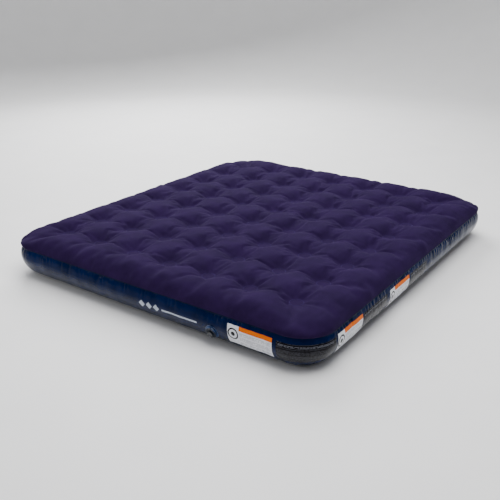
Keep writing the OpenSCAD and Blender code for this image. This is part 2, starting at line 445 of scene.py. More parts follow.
def plan_distance(points, half_x, half_y, corner):
    """Signed distance outside a rounded rectangle, and the outward direction."""
    qx = np.abs(points[:, 0]) - (half_x - corner)
    qy = np.abs(points[:, 1]) - (half_y - corner)
    outside = np.hypot(np.maximum(qx, 0), np.maximum(qy, 0))
    distance = outside + np.minimum(np.maximum(qx, qy), 0) - corner
    sides = np.where((qx > qy)[:, None], (1.0, 0.0), (0.0, 1.0))
    corners = np.c_[np.maximum(qx, 0), np.maximum(qy, 0)]
    use_corner = (qx > 0) & (qy > 0)
    direction = np.where(use_corner[:, None], corners, sides) * np.sign(points)
    return distance, direction / np.maximum(np.linalg.norm(direction, axis=1), 1e-9)[:, None]


def plan_outline(reach, spacing):
    """Goes round the bed's plan at a reach outside the path, anticlockwise from the middle of the -Y side.

    Gives the centres on the path's rounded rectangle, the outward directions, the running lengths and the
    whole length.
    """
    radius = PATH_CORNER + reach
    half_x, half_y = PATH_X - PATH_CORNER, PATH_Y - PATH_CORNER
    arc = (radius * math.pi / 2, True)
    side = (2 * half_y, False)
    sides = [(half_x, False), arc, side, arc, (2 * half_x, False), arc, side, arc, (half_x, False)]
    place = np.array([0.0, -PATH_Y])
    heading, run = 0.0, 0.0
    centres, normals, lengths = [], [], []
    for length, turning in sides:
        count = max(2, round(length / spacing))
        steps = np.arange(count) / count
        forward = np.array([math.cos(heading), math.sin(heading)])
        outward = np.array([forward[1], -forward[0]])
        if turning:
            pivot = place - outward * PATH_CORNER
            turn = heading - math.pi / 2 + steps * math.pi / 2
            normal = np.c_[np.cos(turn), np.sin(turn)]
            centres.append(pivot + PATH_CORNER * normal)
            normals.append(normal)
            heading += math.pi / 2
            last = turn[0] + math.pi / 2
            place = pivot + PATH_CORNER * np.array([math.cos(last), math.sin(last)])
        else:
            centres.append(place + np.outer(steps * length, forward))
            normals.append(np.repeat(outward[None], count, axis=0))
            place = place + forward * length
        lengths.append(run + steps * length)
        run += length
    return np.concatenate(centres), np.concatenate(normals), np.concatenate(lengths), run


def around(points, radius, count):
    """Points on circles of one radius round each given centre."""
    turn = np.arange(count) * TAU / count
    ring = radius * np.c_[np.cos(turn), np.sin(turn)]
    return (points[:, None, :] + ring[None]).reshape(-1, 2)


def nearest_coil(points):
    """Each point's distance and angle from the coil nearest to it, and that coil's number."""
    offset = points[:, None, :] - COILS[None]
    distance = np.linalg.norm(offset, axis=2)
    which = distance.argmin(axis=1)
    pick = np.arange(len(points))
    near = offset[pick, which]
    return distance[pick, which], np.arctan2(near[:, 1], near[:, 0]), which


def cut_sheet(half_x, half_y, corner, spacing):
    """Triangles over a rounded rectangle, even all over, with a ring of points at every coil weld."""
    reach = half_x - PATH_X
    centres, normals, _, _ = plan_outline(reach, spacing)
    edge = centres + reach * normals
    rows = math.sqrt(3) / 2 * spacing
    y = np.arange(-half_y, half_y, rows)
    x = np.arange(-half_x, half_x, spacing)
    lattice = np.array([(a + (j % 2) * spacing / 2, b) for j, b in enumerate(y) for a in x])
    inside = plan_distance(lattice, half_x, half_y, corner)[0] < -0.55 * spacing
    clear = nearest_coil(lattice)[0] > WELD_RADIUS + 0.6 * spacing
    welds = [around(COILS, WELD_RADIUS * share, count) for share, count in ((1, 20), (0.67, 13), (0.33, 7))]
    points = np.concatenate([edge, *welds, COILS, lattice[inside & clear]])
    border = [(i, (i + 1) % len(edge)) for i in range(len(edge))]
    made = delaunay_2d_cdt([Vector(p) for p in points], border, [], 1, 1e-5)
    return np.array([tuple(v) for v in made[0]]), made[2]


def wrap_side(points, turn_up):
    """Bends a flat sheet over the bulged side: lengths past the path become angles round the bulge."""
    distance, outward = plan_distance(points, PATH_X, PATH_Y, PATH_CORNER)
    past = np.maximum(distance, 0)
    angle = past / BULGE
    plan = points + outward * (BULGE * np.sin(angle) - past)[:, None]
    rise = BULGE * np.cos(angle)
    return plan, BULGE + rise if turn_up else BULGE - rise


# ---- sleeping top

SHEET_SPACING = 11 * MM
# The sheet is cut larger than its place by this share, which is the cloth that bulges up as cushions.
CUT_EXCESS = 1.05
SIM_FRAMES = 14
PINNED_BY = 8
SMOOTH_STEPS = 20
CUSHION_FULLNESS = 1.35
# Distances from the coils within which the mesh is made finer, one round after the other.
FINER = (105 * MM, 72 * MM)
# Creases at each coil: how many, how deep, how wide and the seed of their places.
CREASES = ((13, 9 * MM, 4.0 * MM, 8), (23, 3.2 * MM, 2.4 * MM, 9))


def inflate(piece, target, pinned):
    """Inflates a flat sheet by cloth simulation, while its welds move to where the full bed holds them."""
    piece.shape_key_add(name="flat")
    held = piece.shape_key_add(name="held")
    held.data.foreach_set("co", target.astype(np.float32).ravel())
    for value, step in ((0.0, 1), (1.0, PINNED_BY)):
        held.value = value
        held.keyframe_insert("value", frame=step)
    welds = piece.vertex_groups.new(name="welds")
    welds.add([int(i) for i in np.flatnonzero(pinned)], 1.0, "REPLACE")
    cloth = piece.modifiers.new("inflation", "CLOTH")
    sheet = cloth.settings
    sheet.quality = 6
    sheet.mass = 0.2
    sheet.tension_stiffness = 80
    sheet.compression_stiffness = 80
    sheet.shear_stiffness = 10
    sheet.bending_stiffness = 2
    sheet.air_damping = 3
    sheet.vertex_group_mass = welds.name
    sheet.use_pressure = True
    sheet.uniform_pressure_force = 30
    sheet.effector_weights.gravity = 0
    cloth.collision_settings.use_collision = False
    cloth.point_cache.frame_end = SIM_FRAMES
    for step in range(1, SIM_FRAMES + 1):
        bpy.context.scene.frame_set(step)
    full = piece.evaluated_get(bpy.context.evaluated_depsgraph_get()).to_mesh()
    places = np.empty(3 * len(full.vertices))
    full.vertices.foreach_get("co", places)
    bpy.context.scene.frame_set(1)
    return places.reshape(-1, 3)


def relax(places, faces, share):
    """Smooths small folds but keeps the volume: points go towards their neighbours' middle, then back."""
    corners = np.array([face for face in faces if len(face) == 3])
    pairs = np.concatenate([corners[:, [0, 1]], corners[:, [1, 2]], corners[:, [2, 0]]])
    pairs = np.concatenate([pairs, pairs[:, ::-1]])
    count = np.bincount(pairs[:, 0], minlength=len(places))[:, None]
    for step in range(SMOOTH_STEPS):
        way = 1 if step % 2 == 0 else -1.04
        sums = [np.bincount(pairs[:, 0], places[pairs[:, 1], i], len(places)) for i in range(3)]
        places = places + way * share[:, None] * (np.stack(sums, axis=1) / count - places)
    return places


def refine(places, faces, near):
    """Splits the triangles near the welds in four, and returns the finer mesh."""
    shape = bmesh.new()
    made = [shape.verts.new(place) for place in places]
    for face in faces:
        shape.faces.new([made[i] for i in face])
    close = [edge for edge in shape.edges if near[edge.verts[0].index] and near[edge.verts[1].index]]
    bmesh.ops.subdivide_edges(shape, edges=close, cuts=1, use_grid_fill=True, smooth=0.6)
    bmesh.ops.triangulate(shape, faces=shape.faces)
    shape.verts.index_update()
    finer = np.array([tuple(vertex.co) for vertex in shape.verts])
    triangles = [tuple(vertex.index for vertex in face.verts) for face in shape.faces]
    shape.free()
    return finer, triangles


def surface_normals(places, faces):
    corners = np.array(faces)
    a, b, c = (places[corners[:, i]] for i in range(3))
    facing = np.cross(b - a, c - a)
    total = np.zeros_like(places)
    for i in range(3):
        np.add.at(total, corners[:, i], facing)
    return total / np.maximum(np.linalg.norm(total, axis=1), 1e-12)[:, None]


def crease(places, faces, count, depth, width, seed):
    """Presses in creases that fan out from every coil weld, each coil's fan its own."""
    random = np.random.default_rng(seed)
    shape = (len(COILS), count)
    turns = (np.arange(count)[None] + random.uniform(-0.42, 0.42, shape)) * TAU / count
    depths = random.uniform(0.3, 1.0, shape) ** 2 * depth
    widths = random.uniform(0.75, 1.2, shape) * width
    reaches = random.uniform(62, 120, shape) * MM
    bends = random.uniform(-0.25, 0.25, shape)
    radius, angle, which = nearest_coil(places[:, :2])
    pressed = np.zeros(len(places))
    for k in range(count):
        gap = angle - turns[which, k] - bends[which, k] * radius / (70 * MM)
        across = radius * np.sin(gap) / widths[which, k]
        reach = reaches[which, k]
        along = smooth_step(radius, 31 * MM, 43 * MM) * (1 - smooth_step(radius, 0.45 * reach, reach))
        fold = np.exp(-across ** 2) - 0.35 * np.exp(-(across / 2.4) ** 2)
        pressed += depths[which, k] * along * fold * (np.cos(gap) > 0)
    return places - surface_normals(places, faces) * pressed[:, None]


def add_flocked_top(material):
    skirt = (math.pi / 2 - TOP_SEAM) * BULGE
    corner = PATH_CORNER + skirt
    flat, faces = cut_sheet(PATH_X + skirt, PATH_Y + skirt, corner, SHEET_SPACING)
    plan, height = wrap_side(flat, True)
    edge = plan_distance(flat, PATH_X + skirt, PATH_Y + skirt, corner)[0] > -0.1 * MM
    weld = nearest_coil(flat)[0] < 1.01 * WELD_RADIUS
    target = np.c_[plan, np.where(weld, TOP_WELD_Z, height)]
    level = np.full(len(flat), (HEIGHT + TOP_WELD_Z) / 2)
    cut = make_object("flat cut", np.c_[flat * CUT_EXCESS, level], faces, material)
    places = inflate(cut, target, edge | weld)
    inward = -plan_distance(flat, PATH_X + skirt, PATH_Y + skirt, corner)[0]
    share = 0.12 + 0.43 * (1 - smooth_step(inward, 80 * MM, 190 * MM))
    places = relax(places, faces, np.where(edge | weld, 0, share))
    level = places[~weld, 2].max()
    depth = np.clip((level - places[:, 2]) / (level - TOP_WELD_Z), 0, 1)
    fuller = level - (level - TOP_WELD_Z) * depth ** CUSHION_FULLNESS
    inside = smooth_step(inward, 115 * MM, 165 * MM)
    places[:, 2] += inside * (fuller - places[:, 2])
    for reach in FINER:
        places, faces = refine(places, faces, nearest_coil(places[:, :2])[0] < reach)
    for creases in CREASES:
        places = crease(places, faces, *creases)
    bpy.data.objects.remove(cut)
    return make_object("flocked_top", places, faces, material)


# ---- wall

WALL_SPACING = 4 * MM
WALL_RINGS = 42
HOLE_RADIUS = 25 * MM


def pucker_places(length, seed):
    """Places, widths, depths, reaches and slants of the gathers along a seam, crowded here and there."""
    random = np.random.default_rng(seed)
    places, run = [], 0.0
    while run < length:
        places.append(run)
        crowding = 1 + 0.7 * math.sin(TAU * run / 0.61)
        run += random.uniform(6, 22) * MM * crowding
    count = len(places)
    ranges = ((3.0, 6.0, MM), (0.8, 4.2, MM), (14, 90, MM), (-0.2, 0.2, 1))
    return np.c_[places, np.stack([random.uniform(a, b, count) * unit for a, b, unit in ranges], axis=1)]


class Wall:
    """The puckered vinyl wall: a point for any running length round the bed and angle round the bulge."""

    def __init__(self):
        self.centres, self.normals, self.runs, self.length = plan_outline(BULGE, WALL_SPACING)
        self.top_puckers = pucker_places(self.length, 11)
        self.base_puckers = pucker_places(self.length, 12)

    def frame_at(self, runs):
        """Path centre and outward direction at running lengths."""
        known = np.append(self.runs, self.length)
        wrapped = np.mod(runs, self.length)
        parts = [np.interp(wrapped, known, np.append(column, column[0]))
                 for column in (*self.centres.T, *self.normals.T)]
        normal = np.stack(parts[2:], axis=-1)
        return np.stack(parts[:2], axis=-1), normal / np.linalg.norm(normal, axis=-1, keepdims=True)

    def gathers(self, runs, away, puckers):
        """Depth of the folds that run away from one seam."""
        depth = np.zeros_like(runs)
        for place, width, deep, reach, slant in puckers:
            gap = np.mod(runs - place - slant * away + self.length / 2, self.length) - self.length / 2
            fade = np.clip(1 - away / reach, 0, 1) ** 1.4 * smooth_step(away, 0, 4 * MM)
            depth += deep * fade * np.exp(-(gap / width) ** 2)
        return depth

    def relief(self, runs, angles):
        """How far the skin stands off the plain bulge: seam folds, broad waves and the valve's weld."""
        from_top = (TOP_SEAM - angles) * BULGE
        from_base = (angles - BASE_SEAM) * BULGE
        folds = self.gathers(runs, from_top, self.top_puckers)
        folds += 0.8 * self.gathers(runs, from_base, self.base_puckers)
        middle = smooth_step(from_top, 0, 30 * MM) * smooth_step(from_base, 0, 30 * MM)
        waves = np.sin(TAU * runs / (PITCH_X / 2)) + 0.7 * np.sin(TAU * runs / 0.079 + 1.3)
        centre, normal = self.frame_at(runs)
        place = self.on_bulge(centre, normal, angles, np.zeros_like(runs))
        apart = np.linalg.norm(place - np.array(VALVE_CENTRE), axis=-1)
        ridge = 0.7 * MM * np.exp(-((apart - 37 * MM) / (3 * MM)) ** 2)
        calm = smooth_step(apart, 36 * MM, 70 * MM)
        return (0.5 * MM * waves * middle - folds) * calm + ridge

    @staticmethod
    def on_bulge(centre, normal, angles, lift):
        reach = (BULGE + lift) * np.cos(angles)
        height = BULGE + (BULGE + lift) * np.sin(angles)
        return np.concatenate([centre + normal * reach[..., None], height[..., None]], axis=-1)

    def points(self, runs, angles, lift=0.0):
        centre, normal = self.frame_at(runs)
        return self.on_bulge(centre, normal, angles, self.relief(runs, angles) + lift)


def cut_valve_hole(points, faces):
    """Opens a round hole for the valve neck: nearby points move to its rim, and what is inside goes."""
    local = np.array([tuple(VALVE_FRAME.inverted() @ Vector(p)) if abs(p[0] - VALVE_X) < 0.1 and p[1] < 0
                      else (1.0, 1.0, 0.0) for p in points])
    apart = np.hypot(local[:, 0], local[:, 1])
    rim = np.abs(apart - HOLE_RADIUS) < 4.3 * MM
    local[rim, :2] *= (HOLE_RADIUS / apart[rim])[:, None]
    for i in np.flatnonzero(rim):
        x, y = local[i, :2]
        points[i] = VALVE_FRAME @ Vector((x, y, math.sqrt(BULGE ** 2 - y ** 2) - BULGE))
    kept = [face for face in faces if np.hypot(*local[list(face), :2].mean(axis=0)) > 0.97 * HOLE_RADIUS]
    return points, kept


def add_wall(wall, material):
    runs, angles = np.meshgrid(wall.runs, np.linspace(BASE_SEAM, TOP_SEAM, WALL_RINGS))
    points = wall.points(runs, angles).reshape(-1, 3)
    faces = grid_faces(WALL_RINGS, len(wall.runs), closed=True)
    return make_object("vinyl_wall", *cut_valve_hole(points, faces), material)


PANEL_SPACING = 5 * MM


def add_panel(name, wall, start, end, low, high, lift, material, edge=1.0):
    """A sticker or print panel on the wall, between two running lengths and two angles.

    Its rim is lifted by the given share, so a panel of ink alone has no rim to see.
    """
    columns = round((end - start) / PANEL_SPACING) + 1
    rows = round((high - low) * BULGE / PANEL_SPACING) + 1
    across, above = np.meshgrid(np.linspace(0, 1, columns), np.linspace(0, 1, rows))
    lifts = np.full((rows, columns), lift * edge)
    lifts[1:-1, 1:-1] = lift
    runs, angles = start + (end - start) * across, low + (high - low) * above
    points = wall.points(runs, angles, lifts).reshape(-1, 3)
    uvs = np.c_[across.ravel(), above.ravel()]
    return make_object(name, points, grid_faces(rows, columns), material, uvs)


STICKER = (math.radians(-36), math.radians(14))
PRINT = (math.radians(-37), math.radians(14))
BADGE = (math.radians(-24), math.radians(2))
BADGE_RUN = (5 * MM, 345 * MM)
STICKER_LIFT, INK_LIFT, INK_EDGE = 0.5 * MM, 0.25 * MM, -2
SIDE_START = PATH_X - PATH_CORNER + CORNER * math.pi / 2


def side_run(y):
    """Running length of a place on the straight +X side."""
    return SIDE_START + y + PATH_Y - PATH_CORNER


def add_side_prints(wall):
    """Stickers at the CAD panels and screened print between them, as (piece, CAD node or None)."""
    front = [corner[0] for corner in node_box("front_panel")]
    near = [side_run(corner[1]) for corner in node_box("near_side_panel")]
    far = [side_run(corner[1]) for corner in node_box("far_side_panel")]
    made = []
    sticker = printed_sticker(front[1] - front[0], (STICKER[1] - STICKER[0]) * BULGE)
    for node, run in (("front_panel", front), ("near_side_panel", near), ("far_side_panel", far)):
        name = node.replace("panel", "sticker")
        made.append((add_panel(name, wall, *run, *STICKER, STICKER_LIFT, sticker), node))
    spans = (("corner_print", front[1] + 14 * MM, near[0] - 12 * MM),
             ("side_print", near[1] + 4 * MM, far[0] - 24 * MM),
             ("end_print", far[1] + 12 * MM, far[1] + 218 * MM))
    for name, start, end in spans:
        film = printed_film(name, end - start, (PRINT[1] - PRINT[0]) * BULGE)
        made.append((add_panel(name, wall, start, end, *PRINT, INK_LIFT, film, INK_EDGE), None))
    badge = plain_badge(BADGE_RUN[1] - BADGE_RUN[0], (BADGE[1] - BADGE[0]) * BULGE)
    made.append((add_panel("plain_badge", wall, *BADGE_RUN, *BADGE, INK_LIFT, badge, INK_EDGE), None))
    return made


# ---- base

DIMPLE_REACH, DIMPLE_RIPPLE = 70 * MM, 9 * MM


def add_base(material):
    """The base sheet: flat where it lies on the floor, with a puckered dimple under every coil."""
    skirt = (math.pi / 2 + BASE_SEAM) * BULGE
    flat, faces = cut_sheet(PATH_X + skirt, PATH_Y + skirt, PATH_CORNER + skirt, SHEET_SPACING)
    plan, height = wrap_side(flat, False)
    near, angle, which = nearest_coil(plan)
    random = np.random.default_rng(5)
    phase = random.uniform(0, TAU, (len(COILS), 3))[which]
    ripple = sum(np.sin(k * angle + phase[:, i]) for i, k in enumerate((5, 7, 11))) / 3
    reach = DIMPLE_REACH + DIMPLE_RIPPLE * ripple
    rise = 1 - smooth_step(near / reach, WELD_RADIUS / DIMPLE_REACH, 1)
    faces = [tuple(reversed(face)) for face in faces]
    return make_object("base_skin", np.c_[plan, np.maximum(height, BASE_WELD_Z * rise)], faces, material)


# ---- geometry nodes

def new_tree(name, inputs):
    """An empty geometry-node tree with named number inputs, its group input and its group output."""
    tree = bpy.data.node_groups.new(name, "GeometryNodeTree")
    for label, value in inputs.items():
        kind = "NodeSocketInt" if isinstance(value, int) else "NodeSocketFloat"
        tree.interface.new_socket(label, in_out="INPUT", socket_type=kind).default_value = value
    tree.interface.new_socket("Geometry", in_out="OUTPUT", socket_type="NodeSocketGeometry")
    return tree, tree.nodes.new("NodeGroupInput").outputs, tree.nodes.new("NodeGroupOutput").inputs


def finish_tree(tree, geometry, material, outputs):
    """Ends a tree in Realize Instances and Set Material."""
    real = add_node(tree, "GeometryNodeRealizeInstances", {"Geometry": geometry})
    painted = add_node(tree, "GeometryNodeSetMaterial", {"Geometry": real.outputs[0], "Material": material})
    tree.links.new(painted.outputs[0], outputs[0])


def grow(name, tree):
    """Runs a geometry-node tree and keeps its result as a plain mesh object."""
    carrier = bpy.data.objects.new(name + " source", bpy.data.meshes.new(name))
    bpy.context.collection.objects.link(carrier)
    modifier = carrier.modifiers.new("grow", "NODES")
    modifier.node_group = tree
    for socket in tree.interface.items_tree:
        if socket.in_out == "INPUT":
            modifier[socket.identifier] = socket.default_value
    bpy.context.view_layer.update()
    made = carrier.evaluated_get(bpy.context.evaluated_depsgraph_get())
    mesh = bpy.data.meshes.new_from_object(made)
    mesh.shade_smooth()
    bpy.data.objects.remove(carrier)
    piece = bpy.data.objects.new(name, mesh)
    bpy.context.collection.objects.link(piece)
    return piece


def coil_points(tree, given, height):
    """One point over each coil, at a height."""
    points = add_node(tree, "GeometryNodeMeshGrid", {
        "Size X": COLUMN_X[-1] - COLUMN_X[0], "Size Y": ROW_Y[-1] - ROW_Y[0],
        "Vertices X": given["Columns"], "Vertices Y": given["Rows"]})
    return add_node(tree, "GeometryNodeTransform", {
        "Geometry": points.outputs["Mesh"], "Translation": (0, 0, height)}).outputs[0]


def circle(tree, resolution, radius):
    return add_node(tree, "GeometryNodeCurvePrimitiveCircle", {
        "Resolution": resolution, "Radius": radius}).outputs["Curve"]


def random_vector(tree, low, high, seed):
    return add_node(tree, "FunctionNodeRandomValue", {"Min": low, "Max": high, "Seed": seed},
                    data_type="FLOAT_VECTOR").outputs["Value"]


def add_weld_rings(name, height, material):
    """The raised ring of vinyl that each coil's heat weld squeezes up, no two quite alike."""
    tree, given, out = new_tree(name, {
        "Columns": COIL_COLUMNS, "Rows": len(COIL_ROWS), "Ring radius": WELD_RADIUS, "Bead": 1.7 * MM})
    tube = add_node(tree, "GeometryNodeCurveToMesh", {
        "Curve": circle(tree, 40, given["Ring radius"]), "Profile Curve": circle(tree, 8, given["Bead"])})
    placed = add_node(tree, "GeometryNodeInstanceOnPoints", {
        "Points": coil_points(tree, given, height), "Instance": tube.outputs["Mesh"],
        "Rotation": random_vector(tree, (-0.01, -0.01, 0), (0.01, 0.01, TAU), 3),
        "Scale": random_vector(tree, (0.96, 0.93, 0.5), (1.03, 1.0, 0.7), 4)})
    finish_tree(tree, placed.outputs[0], material, out)
    return grow(name, tree)


def add_coil_tubes(material):
    """Vinyl tubes with a slight waist, one for every coil."""
    tree, given, out = new_tree("coil tubes", {
        "Columns": COIL_COLUMNS, "Rows": len(COIL_ROWS), "Tube radius": COIL_RADIUS})
    line = add_node(tree, "GeometryNodeCurvePrimitiveLine", {"End": (0, 0, TOP_WELD_Z - BASE_WELD_Z)})
    steps = add_node(tree, "GeometryNodeResampleCurve", {"Curve": line.outputs[0], "Count": 15})
    along = add_node(tree, "GeometryNodeSplineParameter").outputs["Factor"]
    arch = math_node(tree, "SINE", times(tree, along, math.pi))
    tube = add_node(tree, "GeometryNodeCurveToMesh", {
        "Curve": steps.outputs[0], "Profile Curve": circle(tree, 28, given["Tube radius"]),
        "Scale": math_node(tree, "MULTIPLY_ADD", arch, -0.14, 0.94)})
    placed = add_node(tree, "GeometryNodeInstanceOnPoints", {
        "Points": coil_points(tree, given, BASE_WELD_Z), "Instance": tube.outputs["Mesh"]})
    finish_tree(tree, placed.outputs[0], material, out)
    return grow("coil_tubes", tree)


def add_seam_bead(name, angle, half_width, thick, material):
    """The flat welded lip that follows a seam round the bed."""
    centres, normals, runs, _ = plan_outline(BULGE, 12 * MM)
    count = len(runs)
    path = Wall.on_bulge(centres, normals, np.full(count, angle), np.zeros(count))
    across = np.c_[-math.sin(angle) * normals, np.full(count, math.cos(angle))]
    out = np.c_[math.cos(angle) * normals, np.full(count, math.sin(angle))]
    noise = np.random.default_rng(21).normal(0, 0.5, count + 8)
    wander = np.convolve(noise, np.ones(9) / 9, "valid")[:, None] * 0.5 * MM
    section = [(-1.0, -0.4), (-0.8, 0.7), (-0.2, 1.0), (0.2, 1.0), (0.8, 0.7), (1.0, -0.4)]
    rings = [path + across * (half_width * a + wander) + out * thick * b for a, b in section]
    return make_object(name, np.concatenate(rings), grid_faces(len(section), count, closed=True), material)


# ---- valve
# Lengths in this part are millimetres in the valve's own frame: x along the bed, y up the wall, z outward.

NECK_RADIUS, NECK_BORE, NECK_TOP, NECK_FOOT = 26, 22, 6, -16
# The welded flange inside the wall and the collar outside it.
INNER_FLANGE, OUTER_FLANGE = 42, 34
PLUG_HINGE = (34, 5.4)
CAP_HINGE = (-18.4, 12.1)
PORT_BORE = 8.5
# Solid sections start this far from the axis, so that their inmost faces keep an area.
AXIS = 0.01
# Lowest and highest level of the plug's deck, the cap's lid and the flap.
DECK = (6.85, 9.0)
LID = (13.8, 15.6)
FLAP = (-11.05, -10.05)
FLAP_MIDDLE = sum(FLAP) / 2


def rounded_outline(corners, steps=4):
    """A closed outline from (x, y, radius) corners, each rounded by its radius."""
    outline = []
    for i, (x, y, radius) in enumerate(corners):
        here = Vector((x, y))
        before = Vector(corners[i - 1][:2]) - here
        after = Vector(corners[(i + 1) % len(corners)][:2]) - here
        if radius <= 0:
            outline.append((x, y))
            continue
        half = before.angle(after) / 2
        cut = min(radius / math.tan(half), 0.49 * before.length, 0.49 * after.length)
        start = here + before.normalized() * cut
        end = here + after.normalized() * cut
        for k in range(steps + 1):
            t = k / steps
            outline.append(tuple((1 - t) ** 2 * start + 2 * t * (1 - t) * here + t * t * end))
    return outline


def turned(section, segments=72, knurls=0, knurl_depth=0.25):
    """Turns a closed (radius, height, rounding) section about the valve's axis; knurls ripple its rim."""
    outline = np.array(rounded_outline(section))
    turn = np.arange(segments) * TAU / segments
    widest = outline[:, 0].max()
    rings = []
    for r, z in outline:
        ripple = knurl_depth * np.cos(knurls * turn) if knurls and r > widest - 0.3 else 0
        rings.append(np.c_[(r + ripple) * np.cos(turn), (r + ripple) * np.sin(turn), np.full(segments, z)])
    count = len(rings) * segments
    faces = [tuple(i % count for i in face) for face in grid_faces(len(rings) + 1, segments, closed=True)]
    return np.concatenate(rings), faces


def plate(corners, low, high, edge=0.35):
    """A flat plate with softened edges, from (x, y, rounding) corners given anticlockwise."""
    flat = np.array(rounded_outline(corners))
    along = np.roll(flat, -1, axis=0) - np.roll(flat, 1, axis=0)
    along /= np.maximum(np.linalg.norm(along, axis=1), 1e-9)[:, None]
    inner = flat + edge * np.c_[-along[:, 1], along[:, 0]]
    count = len(flat)
    levels = ((inner, low), (flat, low + edge), (flat, high - edge), (inner, high))
    points = np.concatenate([np.c_[ring, np.full(count, z)] for ring, z in levels])
    faces = grid_faces(4, count, closed=True)
    faces.append(tuple(reversed(range(count))))
    faces.append(tuple(range(3 * count, 4 * count)))
    return points, faces


def bar(x_low, x_high, y_low, y_high, low, high, rounding=1.0, edge=0.35):
    corners = [(x_low, y_low, rounding), (x_high, y_low, rounding), (x_high, y_high, rounding),
               (x_low, y_high, rounding)]
    return plate(corners, low, high, edge)


def strap(path, half_width):
    """A band across x that follows (y, z, thickness) places."""
    places = np.array(path, dtype=float)
    ahead = np.gradient(places[:, :2], axis=0)
    ahead /= np.linalg.norm(ahead, axis=1)[:, None]
    normal = np.c_[-ahead[:, 1], ahead[:, 0]]
    section = [(-1.0, -0.3), (-0.94, -0.5), (0.94, -0.5), (1.0, -0.3), (1.0, 0.3), (0.94, 0.5),
               (-0.94, 0.5), (-1.0, 0.3)]
    points = []
    for (y, z, thick), (ny, nz) in zip(places, normal):
        points += [(half_width * a, y + ny * thick * b, z + nz * thick * b) for a, b in section]
    faces = grid_faces(len(places), len(section), closed=True)
    faces.append(tuple(reversed(range(len(section)))))
    faces.append(tuple(range(len(points) - len(section), len(points))))
    return np.array(points), faces


def fold(hinge, first, last, thick, start, end, steps=12):
    """Places round a fold line, from one radius and angle to another, thinner in the middle."""
    path = []
    for k in range(steps + 1):
        t = k / steps
        turn = math.radians(start + (end - start) * t)
        radius = first + (last - first) * t
        path.append((hinge[0] + radius * math.cos(turn), hinge[1] + radius * math.sin(turn),
                     thick * (1 - 0.5 * math.sin(math.pi * t))))
    return path


def wall_disc(inner, outer, low, high, segments=96, rings=6):
    """A round flange bent to the bulged wall, between two depths measured from the wall's face."""
    turn = np.arange(segments) * TAU / segments
    levels = [(r, high) for r in np.linspace(inner, outer - 0.5, rings)]
    levels += [(outer, (low + high) / 2)]
    levels += [(r, low) for r in np.linspace(outer - 0.5, inner, rings)]
    bulge = BULGE / MM
    points = []
    for radius, depth in levels:
        x, y = radius * np.cos(turn), radius * np.sin(turn)
        points.append(np.c_[x, y, np.sqrt((bulge + depth) ** 2 - y ** 2) - bulge])
    return np.concatenate(points), grid_faces(len(levels), segments, closed=True)


def valve_piece(name, parts, material):
    """Joins parts made in the valve's own frame into one object, in place."""
    points, faces = [], []
    for part_points, part_faces in parts:
        shift = sum(len(p) for p in points)
        points.append(part_points)
        faces += [tuple(i + shift for i in face) for face in part_faces]
    placed = [VALVE_FRAME @ Vector(p * MM) for p in np.concatenate(points)]
    piece = make_object(name, placed, faces, material)
    shape = bmesh.new()
    shape.from_mesh(piece.data)
    bmesh.ops.recalc_face_normals(shape, faces=shape.faces)
    shape.to_mesh(piece.data)
    shape.free()
    piece.data.set_sharp_from_angle(angle=math.radians(40))
    return piece


def add_neck(vinyl):
    section = [(NECK_BORE, NECK_FOOT, 0.6), (NECK_RADIUS, NECK_FOOT, 0.6), (NECK_RADIUS, -1, 0),
               (NECK_RADIUS + 1.6, 0.1, 0.5), (NECK_RADIUS, 1.3, 0), (NECK_RADIUS, NECK_TOP, 1.2),
               (NECK_BORE, NECK_TOP, 1.0)]
    neck = valve_piece("valve_neck_moulding", [
        turned(section), wall_disc(NECK_RADIUS - 1, INNER_FLANGE, -2.5, -1.1),
        wall_disc(NECK_RADIUS - 1, OUTER_FLANGE, 0.0, 0.9)], vinyl)
    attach(neck, "mattress")
    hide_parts("valve_neck")


def add_plug(vinyl, rubber):
    """The plug: rim, web, skirt, inflation port, strap end, pull tab and flap seat, then grips and ribs."""
    plug_parts = [
        turned([(PORT_BORE, 8.0, 0), (25, DECK[0], 0.5), (25, DECK[1], 0.9), (23.4, DECK[1], 0.3),
                (22.6, 8.4, 0.3), (PORT_BORE, 8.4, 0)]),
        turned([(PORT_BORE, 6.8, 0), (24, 6.8, 0), (24, 8.4, 0), (PORT_BORE, 8.4, 0)]),
        turned([(19.7, 0.8, 0.5), (21.7, 0.8, 0.6), (21.7, 8, 0), (19.7, 8, 0)]),
        turned([(PORT_BORE, -10, 0.4), (10.9, -10, 0.6), (10.9, 12.4, 0), (11.1, 12.9, 0.2),
                (10.9, 13.5, 0.5), (PORT_BORE, 13.5, 0.5)]),
        bar(-6, 6, 20, 33.6, *DECK),
        plate([(-29, -6, 2.5), (-32, -3, 2.5), (-32, 3, 2.5), (-29, 6, 2.5), (-20, 6, 0), (-20, -6, 0)],
              *DECK),
        bar(-4, 4, 9, 17, -10, -8)]
    plug_parts += [bar(-30 + 2.2 * k, -29.2 + 2.2 * k, -4.2, 4.2, 8.8, 9.5, 0.3, 0.2) for k in range(3)]
    for k in range(10):
        turn = math.radians(-54 + 32 * k)
        points, faces = bar(14.6, 21.6, -0.7, 0.7, 8.2, 9.4, 0.4, 0.25)
        cosine, sine = math.cos(turn), math.sin(turn)
        swing = np.array([[cosine, sine, 0], [-sine, cosine, 0], [0, 0, 1]])
        plug_parts.append((points @ swing, faces))
    plug = valve_piece("plug_moulding", plug_parts, vinyl)
    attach(plug, "plug")
    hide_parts("deflation_plug")

    gasket = valve_piece("plug_seal_ring", [
        turned([(22.1, 6.05, 0.3), (25, 6.05, 0.3), (25, 6.8, 0.3), (22.1, 6.8, 0.3)])], rubber)
    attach(gasket, "plug")
    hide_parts("plug_gasket")


